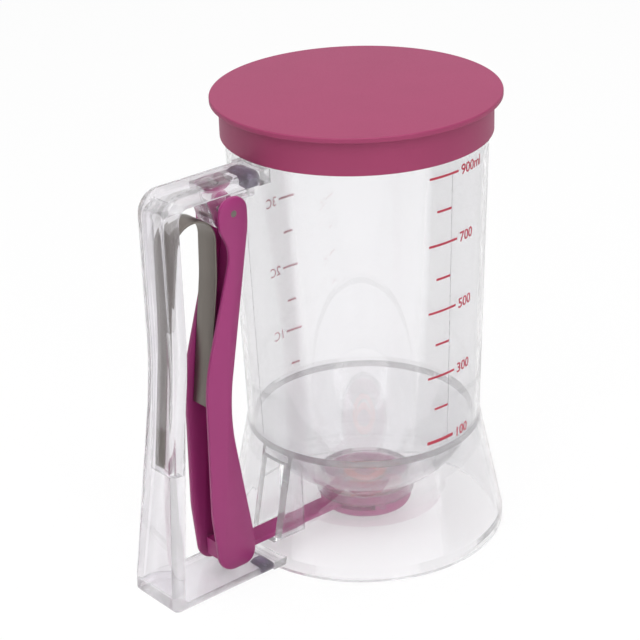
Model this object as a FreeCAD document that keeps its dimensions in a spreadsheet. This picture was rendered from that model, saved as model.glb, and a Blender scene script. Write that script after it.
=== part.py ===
"""Pancake batter dispenser: a clear graduated jar with a bowl bottom, a push-on lid,
a clear C-shaped handle, and a sprung trigger that pulls a slide out from under the outlet.

Every piece is drawn about the jar's axis, +Z up, with the handle towards -X, and then
moved along X so that the origin is under the middle of the whole object."""
import FreeCAD, Part
import Sketcher
import math
import os

Vector = FreeCAD.Vector
NO_OFFSET = FreeCAD.Rotation()

# Driving dimensions, in millimetres and degrees
SIZES = [
    ("jar_ring_radius", 48.1, "outside of the jar where the bowl springs from the wall"),
    ("jar_ring_height", 49.8, "height of that ring above the table"),
    ("jar_mouth_radius", 52.2, "outside of the jar at its mouth"),
    ("jar_height", 185.3, "height of the jar's rim"),
    ("jar_wall", 2.2, "wall of the jar and of the bowl"),
    ("bowl_throat_radius", 20.5, "outside of the bowl where it meets the valve collar"),
    ("bowl_belly_radius", 36.0, "outside of the bowl halfway up"),
    ("bowl_belly_height", 29.9, "height of that belly"),
    ("bowl_curve_radius", 30.0, "radius of the bowl's curve there"),
    ("bowl_root_drop", 4.0, "how far below the ring the bowl leaves the skirt"),
    ("bowl_rim_drop", 1.0, "how far below the ring the bowl starts inside"),
    ("throat_height", 19.3, "top of the flat floor at the throat"),
    ("floor_thickness", 2.0, "flat floor round the outlet"),
    ("outlet_radius", 6.0, "outlet hole in the floor"),
    ("collar_wall", 1.8, "wall of the valve collar"),
    ("collar_bottom", 13.6, "height of the collar's lower edge"),
    ("seal_pocket_wall", 1.3, "ring that holds the seal under the floor"),
    ("seal_pocket_lift", 0.2, "how far that ring ends above the collar's edge"),
    ("skirt_foot_radius", 57.7, "outside of the flared skirt at the table"),
    ("skirt_foot_height", 3.0, "upright lip at the bottom of the skirt"),
    ("skirt_foot_wall", 3.0, "thickness of that lip"),
    ("skirt_foot_step", 1.0, "how far the lip rises further inside"),
    ("upper_boss_depth", 4.2, "how far the upper boss runs into the jar"),
    ("lower_boss_depth", 2.6, "how far the lower boss runs into the skirt's lip"),
    ("window_half_width", 6.6, "half of the window in the skirt that the slide passes"),
    ("window_sill", 10.0, "bottom of that window"),
    ("window_top", 43.0, "top of that window"),
    ("rib_thickness", 1.8, "guide ribs inside the skirt"),
    ("rib_reach", 14.5, "how far a guide rib reaches in from the skirt"),
    ("rib_bottom", 11.2, "height of the lower edge of the guide ribs"),
    ("hook_width", 2.2, "catches under the collar that hold the valve cap"),
    ("hook_depth", 2.0, "how far a catch hangs below the collar"),
    ("hook_angle", 58.0, "angle of the first catch from the slide"),
    ("hook_step", 11.0, "angle between the two catches of a pair"),
    ("lid_radius", 57.0, "rim of the lid"),
    ("lid_plate", 2.1, "thickness of the lid's top"),
    ("lid_skirt_depth", 13.9, "skirt of the lid below its top"),
    ("lid_skirt_wall", 1.2, "wall of the lid's skirt"),
    ("lid_clearance", 0.12, "gap between the lid's skirt and the jar's mouth"),
    ("seat_gap", 0.1, "gap between parts that rest on each other"),
    ("lid_edge", 0.6, "broken edge of the lid's rim"),
    ("grip_outer_reach", 101.4, "outer face of the grip from the jar's axis"),
    ("grip_foot_reach", 111.2, "outer face at the foot of the grip"),
    ("grip_bend_height", 104.0, "height where the grip starts to lean out"),
    ("grip_depth", 7.6, "depth of the grip, outside to inside"),
    ("grip_half_width", 8.5, "half width of the grip and of the upper arm"),
    ("grip_foot_half_width", 13.8, "half width at the foot of the grip"),
    ("grip_flare_height", 80.0, "height where the grip starts to widen"),
    ("grip_wall", 2.6, "outer wall of the grip's channel"),
    ("grip_bend_radius", 180.0, "radius of the bend where the grip leans out"),
    ("grip_flare_radius", 200.0, "radius where the grip starts to widen"),
    ("grip_foot_thinning", 2.6, "how much thinner the grip is at its foot"),
    ("foot_corner", 2.0, "rounding at the foot of the grip"),
    ("arm_top", 170.7, "top of the upper arm"),
    ("arm_depth", 5.7, "depth of the upper arm"),
    ("foot_bottom", 3.0, "underside of the lower arm"),
    ("foot_depth", 3.3, "depth of the lower arm"),
    ("foot_lip", 7.0, "upright outer face above the foot of the grip"),
    ("upper_seat_reach", 56.0, "face where the upper arm meets the jar's boss"),
    ("lower_seat_reach", 62.0, "face where the lower arm meets the skirt's boss"),
    ("outer_corner", 9.0, "rounding of the handle's upper corner"),
    ("inner_corner", 4.5, "rounding inside the handle's upper corner"),
    ("channel_half_width", 5.7, "half width of the channel that holds the spring"),
    ("channel_bottom", 58.0, "lower end of that channel"),
    ("channel_roof", 1.0, "how far the channel ends below the upper arm"),
    ("channel_corner", 3.0, "rounding at the channel's upper end"),
    ("lug_half_width", 5.4, "half width of the hinge lug under the upper arm"),
    ("lug_radius", 6.4, "rounding of the lug about the pin"),
    ("lug_tail_depth", 4.6, "depth of the lug's tail below the arm"),
    ("lug_root_length", 4.0, "how far the lug's root runs towards the grip"),
    ("lug_root_depth", 1.5, "depth of that root"),
    ("pivot_reach", 68.3, "trigger pin from the jar's axis"),
    ("pivot_height", 157.0, "height of the trigger pin"),
    ("pin_radius", 1.3, "trigger pin"),
    ("pin_clearance", 0.05, "running clearance round the pin"),
    ("trigger_half_width", 7.6, "half width of the trigger"),
    ("trigger_wall", 1.8, "walls of the trigger"),
    ("ear_radius", 6.6, "round ears of the trigger about the pin"),
    ("ear_drop", 6.0, "how far the ears reach below the pin"),
    ("ear_round", 5.0, "hollow under the front of the ears"),
    ("neck_step", 2.0, "front of the trigger's neck, in front of the pin"),
    ("neck_drop", 15.0, "depth of the neck below the pin"),
    ("neck_round", 14.0, "rounding of the neck"),
    ("shoulder_round", 30.0, "rounding at the back of the neck"),
    ("waist_step", 6.9, "back of the trigger at its waist, in front of the pin"),
    ("waist_height", 76.0, "height of the waist"),
    ("waist_round", 90.0, "radius of the trigger's back at the waist"),
    ("belly_reach", 85.4, "front edge of the side walls where the fingers pull"),
    ("belly_height", 92.0, "height of that point"),
    ("belly_round", 70.0, "rounding there"),
    ("shin_reach", 86.2, "front edge of the side walls lower down"),
    ("shin_height", 34.0, "height of that point"),
    ("shin_round", 60.0, "rounding there"),
    ("toe_reach", 83.6, "front corner of the trigger's foot"),
    ("toe_round", 7.0, "rounding of that corner"),
    ("heel_reach", 66.2, "back of the trigger's foot"),
    ("heel_height", 18.0, "height where the back turns upright"),
    ("heel_round", 5.0, "rounding there"),
    ("heel_corner", 4.4, "back corner of the trigger's foot"),
    ("trigger_bottom", 6.9, "underside of the trigger"),
    ("back_top_drop", 9.5, "how far below the pin the trigger's back wall starts"),
    ("back_bottom", 15.4, "lower end of that back wall"),
    ("link_reach", 77.5, "cross bar of the trigger that pulls the slide"),
    ("link_height", 12.5, "height of that cross bar"),
    ("link_radius", 2.0, "radius of that cross bar"),
    ("link_clearance", 0.1, "gap between the cross bar and its slot"),
    ("stiffener_height", 3.2, "ribs across the trigger's channel"),
    ("stiffener_thickness", 1.2, "thickness of those ribs"),
    ("stiffener_low", 33.0, "height of the lowest of those ribs"),
    ("stiffener_middle", 72.0, "height of the middle one"),
    ("stiffener_high", 108.0, "height of the highest"),
    ("slide_bottom", 11.0, "underside of the slide"),
    ("slide_thickness", 2.0, "thickness of the slide"),
    ("bar_half_width", 4.3, "half width of the slide's bar"),
    ("tongue_radius", 10.0, "round end of the slide, half its width there"),
    ("tongue_length", 16.0, "length of the wide end of the slide"),
    ("tongue_taper_start", 3.0, "straight side left before the taper"),
    ("tongue_taper_length", 4.0, "length of the taper to the bar"),
    ("tongue_corner", 2.0, "rounding at both ends of the taper"),
    ("slide_clearance", 0.1, "gap over and under the slide"),
    ("hook_block", 3.9, "half length of the slide's hooked end"),
    ("hook_rise", 7.4, "height of the hooked end above the slide's underside"),
    ("hook_roof", 2.0, "solid above the slot in the hooked end"),
    ("seal_outer_radius", 9.8, "outlet seal"),
    ("seal_inner_radius", 6.2, "hole of the outlet seal"),
    ("seal_bevel_width", 1.2, "bevel of the seal's lower edges"),
    ("seal_bevel_height", 0.3, "height of that bevel"),
    ("seal_gap", 0.05, "gap round the seal"),
    ("cap_radius", 19.1, "outside of the valve cap"),
    ("cap_wall", 1.8, "wall of the valve cap"),
    ("cap_bottom", 7.8, "underside of the valve cap"),
    ("cap_floor", 1.8, "floor of the valve cap"),
    ("cap_hole_radius", 6.5, "hole in the valve cap"),
    ("cap_spout_wall", 1.6, "wall of the short spout round that hole"),
    ("cap_rim_taper", 1.5, "taper inside the cap's standing rim"),
    ("cap_edge_width", 0.8, "bevel of the cap's lower edge"),
    ("cap_edge_height", 1.2, "height of that bevel"),
    ("cap_slot_angle", 60.0, "half angle of the slot that the slide passes"),
    ("guide_thickness", 1.5, "rails beside the slide in the valve cap"),
    ("guide_length", 22.0, "length of those rails"),
    ("guide_shift", 1.0, "how far the rails sit towards the handle"),
    ("strip_thickness", 0.8, "leaf spring strip"),
    ("strip_half_width", 5.2, "half width of the strip"),
    ("strip_bend_radius", 9.4, "bend at the top of the spring"),
    ("strip_gap", 0.3, "gap between the strip and the grip's channel"),
    ("strip_foot_gap", 3.0, "gap below the strip's outer leg"),
    ("strip_shoulder", 4.0, "how far the outer leg leans in towards its bend"),
    ("strip_top", 157.4, "height of the spring's bend"),
    ("strip_knee_height", 132.0, "height of the inner leg's knee"),
    ("strip_knee_step", 0.9, "how far the knee stands in front of the bend"),
    ("strip_knee_radius", 60.0, "radius of the knee"),
    ("strip_end_height", 80.0, "lower end of the inner leg"),
    ("strip_end_step", 7.4, "how far that end stands in front of the bend"),
    ("merge_depth", 0.5, "how far features of one piece run into each other"),
    ("cut_margin", 5.0, "how far a cut runs past what it trims"),
    ("arc_margin", 0.2, "straight left beside an arc that turns right round"),
]


class Size(float):
    """A length that remembers the sheet formula it came from."""

    def __new__(cls, value, formula):
        size = float.__new__(cls, value)
        size.formula = formula
        return size

    def __add__(self, other):
        return Size(float(self) + float(other), f"({self.formula} + {formula_of(other)})")

    def __radd__(self, other):
        return Size(float(other) + float(self), f"({formula_of(other)} + {self.formula})")

    def __sub__(self, other):
        return Size(float(self) - float(other), f"({self.formula} - {formula_of(other)})")

    def __rsub__(self, other):
        return Size(float(other) - float(self), f"({formula_of(other)} - {self.formula})")

    def __mul__(self, other):
        return Size(float(self) * float(other), f"({self.formula} * {formula_of(other)})")

    __rmul__ = __mul__

    def __truediv__(self, other):
        return Size(float(self) / float(other), f"({self.formula} / {formula_of(other)})")

    def __neg__(self):
        return Size(-float(self), f"(-{self.formula})")


def formula_of(number):
    """The sheet formula of a Size, or the plain number itself."""
    return number.formula if isinstance(number, Size) else repr(float(number))


def sheet_sizes(doc):
    """Write the driving dimensions into a spreadsheet and return them by name."""
    sheet = doc.addObject("Spreadsheet::Sheet", "Sizes")
    for row, (alias, number, meaning) in enumerate(SIZES, start=1):
        sheet.set(f"A{row}", alias)
        sheet.set(f"B{row}", str(number))
        sheet.setAlias(f"B{row}", alias)
        sheet.set(f"C{row}", meaning)
    doc.recompute()
    return {alias: Size(sheet.get(alias), f"Sizes.{alias}") for alias, _, _ in SIZES}


doc = FreeCAD.newDocument("BatterDispenser")
size = sheet_sizes(doc)
sub_parts = []


def bind(target, path, number):
    """Tie a property to the sheet."""
    target.setExpression(path, formula_of(number))


def place(piece):
    """Move a sub-part so that the origin is under the middle of the object."""
    bind(piece, "Placement.Base.x", jar_x)
    sub_parts.append(piece)
    return piece


def new_body(label):
    """A PartDesign body for one piece."""
    body = doc.addObject("PartDesign::Body", label)
    body.Label = label
    return place(body)


def new_sketch(body, name, role, offset=0):
    """A sketch on one of the body's own origin planes, moved along the plane's normal."""
    sketch = body.newObject("Sketcher::SketchObject", name)
    plane = next(item for item in body.Origin.OriginFeatures if item.Role == role)
    sketch.AttachmentSupport = [(plane, "")]
    sketch.MapMode = "FlatFace"
    if float(offset) != 0:
        sketch.AttachmentOffset = FreeCAD.Placement(Vector(0, 0, float(offset)), NO_OFFSET)
        bind(sketch, "AttachmentOffset.Base.z", offset)
    return sketch


def fix_point(sketch, geometry, end, x, y):
    """Hold a point at x, y from the sketch's origin, both tied to the sheet."""
    for kind, number in (("DistanceX", x), ("DistanceY", y)):
        if abs(float(number)) < 1e-9:
            on_axis = "Vertical" if kind == "DistanceX" else "Horizontal"
            sketch.addConstraint(constraint(on_axis, geometry, end, -1, 1))
            continue
        positive = float(number) > 0
        ends = (-1, 1, geometry, end) if positive else (geometry, end, -1, 1)
        length = number if positive else 0 - number
        index = sketch.addConstraint(constraint(kind, *ends, float(length)))
        bind(sketch, f"Constraints[{index}]", length)


def constraint(kind, *values):
    """One sketch constraint."""
    return Sketcher.Constraint(kind, *values)


def corner_arc(before, corner, after, radius):
    """The arc that rounds a corner: where it leaves each side, its centre and its turn."""
    to_before = (before - corner).normalize()
    to_after = (after - corner).normalize()
    half = to_before.getAngle(to_after) / 2
    reach = radius / math.tan(half)
    centre = corner + (to_before + to_after).normalize() * (radius / math.sin(half))
    turns_left = to_before.cross(to_after).z < 0
    return corner + to_before * reach, corner + to_after * reach, centre, turns_left


def draw_arc(sketch, corner, radius):
    """Draw a corner's arc anticlockwise, and say which of its ends meets each side."""
    first, second, centre, turns_left = corner
    low, high = (first, second) if turns_left else (second, first)
    angles = [math.atan2(point.y - centre.y, point.x - centre.x) for point in (low, high)]
    if angles[1] < angles[0]:
        angles[1] += 2 * math.pi
    ring = Part.Circle(centre, Vector(0, 0, 1), radius)
    arc = sketch.addGeometry(Part.ArcOfCircle(ring, *angles), False)
    return (arc, 1, 2) if turns_left else (arc, 2, 1)


def outline(sketch, corners, closed=True):
    """Draw straight sides between corners (x, y, radius), rounding each corner with a radius.

    Each corner is a fixed point tied to the sheet, the sides run through it, and an arc of
    the stated radius is tangent to both sides."""
    points = [Vector(float(x), float(y), 0) for x, y, _ in corners]
    count = len(corners)
    arcs = {}
    for index, (_, _, radius) in enumerate(corners):
        if float(radius) > 0:
            before, after = points[index - 1], points[(index + 1) % count]
            arcs[index] = corner_arc(before, points[index], after, float(radius))
    sides = []
    last = count if closed else count - 1
    for index in range(last):
        following = (index + 1) % count
        start = arcs[index][1] if index in arcs else points[index]
        end = arcs[following][0] if following in arcs else points[following]
        sides.append(sketch.addGeometry(Part.LineSegment(start, end), False))
    for index, (x, y, radius) in enumerate(corners):
        side_in = sides[index - 1] if closed or index > 0 else None
        side_out = sides[index] if index < len(sides) else None
        if index not in arcs:
            if side_in is not None and side_out is not None:
                sketch.addConstraint(constraint("Coincident", side_in, 2, side_out, 1))
            held = (side_out, 1) if side_out is not None else (side_in, 2)
            fix_point(sketch, *held, x, y)
            continue
        arc, end_in, end_out = draw_arc(sketch, arcs[index], float(radius))
        corner = sketch.addGeometry(Part.Point(points[index]), True)
        sketch.addConstraint(constraint("PointOnObject", corner, 1, side_in))
        sketch.addConstraint(constraint("PointOnObject", corner, 1, side_out))
        fix_point(sketch, corner, 1, x, y)
        sketch.addConstraint(constraint("Tangent", side_in, 2, arc, end_in))
        sketch.addConstraint(constraint("Tangent", side_out, 1, arc, end_out))
        row = sketch.addConstraint(constraint("Radius", arc, float(radius)))
        bind(sketch, f"Constraints[{row}]", radius)


def circle(sketch, x, y, radius):
    """A circle held at x, y."""
    ring = sketch.addGeometry(Part.Circle(Vector(float(x), float(y), 0), Vector(0, 0, 1), float(radius)), False)
    fix_point(sketch, ring, 3, x, y)
    row = sketch.addConstraint(constraint("Radius", ring, float(radius)))
    bind(sketch, f"Constraints[{row}]", radius)


def box_corners(low_x, low_y, high_x, high_y):
    """The four square corners of a rectangle."""
    return [(low_x, low_y, 0), (high_x, low_y, 0), (high_x, high_y, 0), (low_x, high_y, 0)]


def pad(body, sketch, name, length, symmetric=True, reverse=False):
    """Add the sketch's area, to both sides of its plane unless told otherwise."""
    feature = body.newObject("PartDesign::Pad", name)
    feature.Profile = sketch
    feature.SideType = "Symmetric" if symmetric else "One side"
    feature.Reversed = reverse
    bind(feature, "Length", length)
    finish(body, feature)
    return feature


def pocket(body, sketch, name, length=None, symmetric=True, reverse=False):
    """Cut the sketch's area, through everything unless a length is given."""
    feature = body.newObject("PartDesign::Pocket", name)
    feature.Profile = sketch
    feature.SideType = "Symmetric" if symmetric else "One side"
    feature.Reversed = reverse
    if length is None:
        feature.Type = "ThroughAll"
    else:
        feature.Type = "Length"
        bind(feature, "Length", length)
    finish(body, feature, cuts=True)
    return feature


def revolve(body, sketch, name, cut=False):
    """Turn the sketch's area once round the jar's axis."""
    feature = body.newObject("PartDesign::Groove" if cut else "PartDesign::Revolution", name)
    feature.Profile = sketch
    feature.ReferenceAxis = (sketch, ["V_Axis"])
    feature.Angle = 360
    finish(body, feature, cuts=cut)
    return feature


def finish(body, feature, cuts=False):
    """Recompute, and make sure that a cut took something away and an addition added."""
    sketches = [item for item in body.Group if item.TypeId == "Sketcher::SketchObject"]
    for sketch in sketches:
        sketch.Visibility = False
    before = volume_before(body, feature)
    doc.recompute()
    after = feature.Shape.Volume
    changed = after < before if cuts else after > before
    if not changed:
        raise RuntimeError(f"{body.Label}: {feature.Name} changed nothing, {before:.1f} to {after:.1f}")


def volume_before(body, feature):
    """Volume of the body's last solid feature but this one."""
    solids = [item for item in body.Group if item.isDerivedFrom("PartDesign::Feature") and item != feature]
    return solids[-1].Shape.Volume if solids else 0.0


# Places that several pieces share
jar_bottom_slope = (size["skirt_foot_radius"] - size["jar_ring_radius"]) / (
    size["jar_ring_height"] - size["skirt_foot_height"])
floor_underside = size["throat_height"] - size["floor_thickness"]
seal_pocket_radius = size["seal_outer_radius"] + size["seal_gap"]
slide_top = size["slide_bottom"] + size["slide_thickness"]
lid_underside = size["jar_height"] + size["seat_gap"]
lid_top = lid_underside + size["lid_plate"]
arm_underside = size["arm_top"] - size["arm_depth"]
foot_top = size["foot_bottom"] + size["foot_depth"]
grip_inner_reach = size["grip_outer_reach"] - size["grip_depth"]
grip_foot_inner_reach = size["grip_foot_reach"] - size["grip_depth"] + size["grip_foot_thinning"]
waist_reach = size["pivot_reach"] + size["waist_step"]
jar_x = (size["grip_foot_reach"] - size["skirt_foot_radius"]) / 2
pin_hole_radius = size["pin_radius"] + size["pin_clearance"]
grip_lean = (size["grip_foot_reach"] - size["grip_outer_reach"]) / (
    size["grip_bend_height"] - size["foot_bottom"] - size["foot_lip"])


def skirt_radius(height):
    """Outside radius of the flared skirt at a height."""
    return size["skirt_foot_radius"] - jar_bottom_slope * (height - size["skirt_foot_height"])


def make_jar():
    """The clear moulding: cup, bowl, valve collar and flared skirt."""
    body = new_body("jar_body")
    wall = size["jar_wall"]
    ring, ring_height = size["jar_ring_radius"], size["jar_ring_height"]
    throat = size["bowl_throat_radius"]
    foot, foot_height = size["skirt_foot_radius"], size["skirt_foot_height"]
    collar_inside = throat - size["collar_wall"]
    pocket_outside = seal_pocket_radius + size["seal_pocket_wall"]
    pocket_low = size["collar_bottom"] + size["seal_pocket_lift"]
    belly, belly_height = size["bowl_belly_radius"], size["bowl_belly_height"]
    # The outside first, with the cup still solid
    sketch = new_sketch(body, "OuterShape", "XZ_Plane")
    outline(sketch, [
        (0, floor_underside, 0),
        (seal_pocket_radius, floor_underside, 0),
        (seal_pocket_radius, pocket_low, 0),
        (pocket_outside, pocket_low, 0),
        (pocket_outside, floor_underside, 0),
        (collar_inside, floor_underside, 0),
        (collar_inside, size["collar_bottom"], 0),
        (throat, size["collar_bottom"], 0),
        (throat, size["throat_height"], 0),
        (belly, belly_height, size["bowl_curve_radius"]),
        (ring - wall, ring_height - size["bowl_root_drop"], 0),
        (foot - size["skirt_foot_wall"], foot_height + size["skirt_foot_step"], 0),
        (foot - size["skirt_foot_wall"], 0, 0),
        (foot, 0, 0),
        (foot, foot_height, 0),
        (ring, ring_height, 0),
        (size["jar_mouth_radius"], size["jar_height"], 0),
        (0, size["jar_height"], 0),
    ])
    revolve(body, sketch, "Outside")
    # Bosses that the handle's arms are joined to
    sketch = new_sketch(body, "UpperBossShape", "XZ_Plane")
    outline(sketch, box_corners(-size["upper_seat_reach"], arm_underside,
                                size["upper_boss_depth"] - size["jar_mouth_radius"], size["arm_top"]))
    pad(body, sketch, "UpperBoss", size["grip_half_width"] * 2)
    sketch = new_sketch(body, "LowerBossShape", "XZ_Plane")
    outline(sketch, box_corners(-size["lower_seat_reach"], size["foot_bottom"],
                                size["lower_boss_depth"] - foot, foot_top))
    pad(body, sketch, "LowerBoss", size["grip_foot_half_width"] * 2)
    # Window for the slide, and a guide rib on each side of it
    sketch = new_sketch(body, "WindowShape", "YZ_Plane", wall - ring)
    half = size["window_half_width"]
    outline(sketch, box_corners(-half, size["window_sill"], half, size["window_top"]))
    pocket(body, sketch, "Window", symmetric=False)
    for side, name in ((1, "Left"), (-1, "Right")):
        near = half if side > 0 else -(half + size["rib_thickness"])
        sketch = new_sketch(body, f"{name}RibShape", "XZ_Plane", -near)
        rib_outer = skirt_radius(size["rib_bottom"]) - wall / 2
        outline(sketch, [
            (-rib_outer, size["rib_bottom"], 0),
            (size["rib_reach"] - rib_outer, size["rib_bottom"], 0),
            (size["rib_reach"] - rib_outer, ring_height, 0),
            (-(ring - wall / 2), ring_height, 0),
        ])
        pad(body, sketch, f"{name}Rib", size["rib_thickness"], symmetric=False, reverse=True)
    # Catches in pairs under the collar
    for side in (1, -1):
        for step in (0, 1):
            angle = 180 + side * (float(size["hook_angle"]) + step * float(size["hook_step"]))
            add_catch(body, angle, f"Catch{'A' if side > 0 else 'B'}{step}")
    # Then the inside of the cup and bowl, and the outlet
    sketch = new_sketch(body, "InnerShape", "XZ_Plane")
    outline(sketch, [
        (0, size["throat_height"], 0),
        (throat - wall, size["throat_height"], 0),
        (belly - wall, belly_height + wall / 2, size["bowl_curve_radius"]),
        (ring - wall, ring_height - size["bowl_rim_drop"], 0),
        (size["jar_mouth_radius"] - wall, size["jar_height"], 0),
        (0, size["jar_height"], 0),
    ])
    revolve(body, sketch, "Inside", cut=True)
    sketch = new_sketch(body, "OutletShape", "XY_Plane", floor_underside)
    circle(sketch, 0, 0, size["outlet_radius"])
    pocket(body, sketch, "Outlet", size["floor_thickness"] * 2, symmetric=True)


def add_catch(body, angle, name):
    """One small catch that hangs from the collar's lower edge."""
    sketch = new_sketch(body, f"{name}Shape", "XY_Plane", size["collar_bottom"] - size["hook_depth"])
    turn = FreeCAD.Rotation(Vector(0, 0, 1), angle)
    sketch.AttachmentOffset = FreeCAD.Placement(sketch.AttachmentOffset.Base, turn)
    inner = size["cap_radius"] + size["seat_gap"]
    outline(sketch, box_corners(inner, -size["hook_width"] / 2, size["bowl_throat_radius"], size["hook_width"] / 2))
    pad(body, sketch, name, size["hook_depth"] + size["merge_depth"], symmetric=False)


def make_lid():
    """A flat disc with a skirt that pushes over the jar's mouth."""
    body = new_body("lid")
    inside = size["jar_mouth_radius"] + size["lid_clearance"]
    outside = inside + size["lid_skirt_wall"]
    sketch = new_sketch(body, "LidShape", "XZ_Plane")
    outline(sketch, [
        (0, lid_underside, 0),
        (inside, lid_underside, 0),
        (inside, lid_underside - size["lid_skirt_depth"], 0),
        (outside, lid_underside - size["lid_skirt_depth"], 0),
        (outside, lid_underside, 0),
        (size["lid_radius"], lid_underside, 0),
        (size["lid_radius"], lid_top - size["lid_edge"], 0),
        (size["lid_radius"] - size["lid_edge"], lid_top, 0),
        (0, lid_top, 0),
    ])
    revolve(body, sketch, "Lid")


def make_handle():
    """The clear C-shaped handle: upper arm, grip with a channel, lower arm and hinge lug."""
    body = new_body("handle")
    outer, foot = size["grip_outer_reach"], size["grip_foot_reach"]
    bend = size["grip_bend_radius"]
    sketch = new_sketch(body, "SideShape", "XZ_Plane")
    outline(sketch, [
        (-size["upper_seat_reach"], size["arm_top"], 0),
        (-outer, size["arm_top"], size["outer_corner"]),
        (-outer, size["grip_bend_height"], bend),
        (-foot, size["foot_bottom"] + size["foot_lip"], 0),
        (-foot, size["foot_bottom"], size["foot_corner"]),
        (-size["lower_seat_reach"], size["foot_bottom"], 0),
        (-size["lower_seat_reach"], foot_top, 0),
        (-grip_foot_inner_reach, foot_top, size["foot_corner"]),
        (-grip_inner_reach, size["grip_bend_height"], bend),
        (-grip_inner_reach, arm_underside, size["inner_corner"]),
        (-size["upper_seat_reach"], arm_underside, 0),
    ])
    pad(body, sketch, "Side", size["grip_foot_half_width"] * 2)
    # Trim both sides to the front view, which widens towards the foot
    for side, name in ((1, "Left"), (-1, "Right")):
        sketch = new_sketch(body, f"{name}TrimShape", "YZ_Plane")
        beyond = (size["grip_foot_half_width"] + size["cut_margin"]) * side
        above = size["arm_top"] + size["cut_margin"]
        outline(sketch, [
            (size["grip_half_width"] * side, above, 0),
            (size["grip_half_width"] * side, size["grip_flare_height"], size["grip_flare_radius"]),
            (size["grip_foot_half_width"] * side, foot_top, 0),
            (beyond, foot_top, 0),
            (beyond, above, 0),
        ])
        pocket(body, sketch, f"{name}Trim", symmetric=False, reverse=False)
    # Hinge lug under the upper arm
    pivot_x, pivot_z = -size["pivot_reach"], size["pivot_height"]
    reach = size["lug_radius"]
    root_x = pivot_x - reach - size["lug_root_length"]
    sketch = new_sketch(body, "LugShape", "XZ_Plane")
    outline(sketch, [
        (root_x, arm_underside + size["merge_depth"], 0),
        (root_x, arm_underside - size["lug_root_depth"], 0),
        (pivot_x - reach, pivot_z - reach, reach),
        (pivot_x + reach, pivot_z - reach, reach - size["arc_margin"]),
        (pivot_x + reach, arm_underside - size["lug_tail_depth"], 0),
        (-size["upper_seat_reach"], arm_underside - size["lug_tail_depth"], 0),
        (-size["upper_seat_reach"], arm_underside + size["merge_depth"], 0),
    ])
    pad(body, sketch, "Lug", size["lug_half_width"] * 2)
    sketch = new_sketch(body, "PinHoleShape", "XZ_Plane")
    circle(sketch, pivot_x, pivot_z, pin_hole_radius)
    pocket(body, sketch, "PinHole")
    # Channel in the grip, open towards the trigger, where the spring stands
    floor_x = size["grip_wall"] - outer
    open_x = size["cut_margin"] - grip_inner_reach
    roof = arm_underside - size["channel_roof"]
    lean = grip_lean * (size["grip_bend_height"] - size["channel_bottom"])
    sketch = new_sketch(body, "ChannelShape", "XZ_Plane")
    outline(sketch, [
        (floor_x, roof, size["channel_corner"]),
        (floor_x, size["grip_bend_height"], bend),
        (floor_x - lean, size["channel_bottom"], 0),
        (open_x, size["channel_bottom"], 0),
        (open_x, roof, 0),
    ])
    pocket(body, sketch, "Channel", size["channel_half_width"] * 2)


def trigger_corners():
    """Side view of the trigger, from the ears down its back and up its front."""
    pivot_x, pivot_z = -size["pivot_reach"], size["pivot_height"]
    ear = size["ear_radius"]
    ear_turn = ear - size["arc_margin"]
    return [
        (pivot_x - ear, pivot_z + ear, ear_turn),
        (pivot_x + ear, pivot_z + ear, ear_turn),
        (pivot_x + ear, pivot_z - size["ear_drop"], size["shoulder_round"]),
        (-waist_reach, size["waist_height"], size["waist_round"]),
        (-size["heel_reach"], size["heel_height"], size["heel_round"]),
        (-size["heel_reach"], size["trigger_bottom"], size["heel_corner"]),
        (-size["toe_reach"], size["trigger_bottom"], size["toe_round"]),
        (-size["shin_reach"], size["shin_height"], size["shin_round"]),
        (-size["belly_reach"], size["belly_height"], size["belly_round"]),
        (pivot_x - size["neck_step"], pivot_z - size["neck_drop"], size["neck_round"]),
        (pivot_x - ear, pivot_z - size["ear_drop"], size["ear_round"]),
    ]


def back_reach(height):
    """How far the trigger's back stands from the jar's axis, on the straight lines of its outline."""
    top, waist = size["pivot_height"] - size["ear_drop"], size["waist_height"]
    if float(height) > float(waist):
        slope = (waist_reach + size["ear_radius"] - size["pivot_reach"]) / (top - waist)
        return waist_reach - slope * (height - waist)
    slope = (waist_reach - size["heel_reach"]) / (waist - size["heel_height"])
    return waist_reach - slope * (waist - height)


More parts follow.
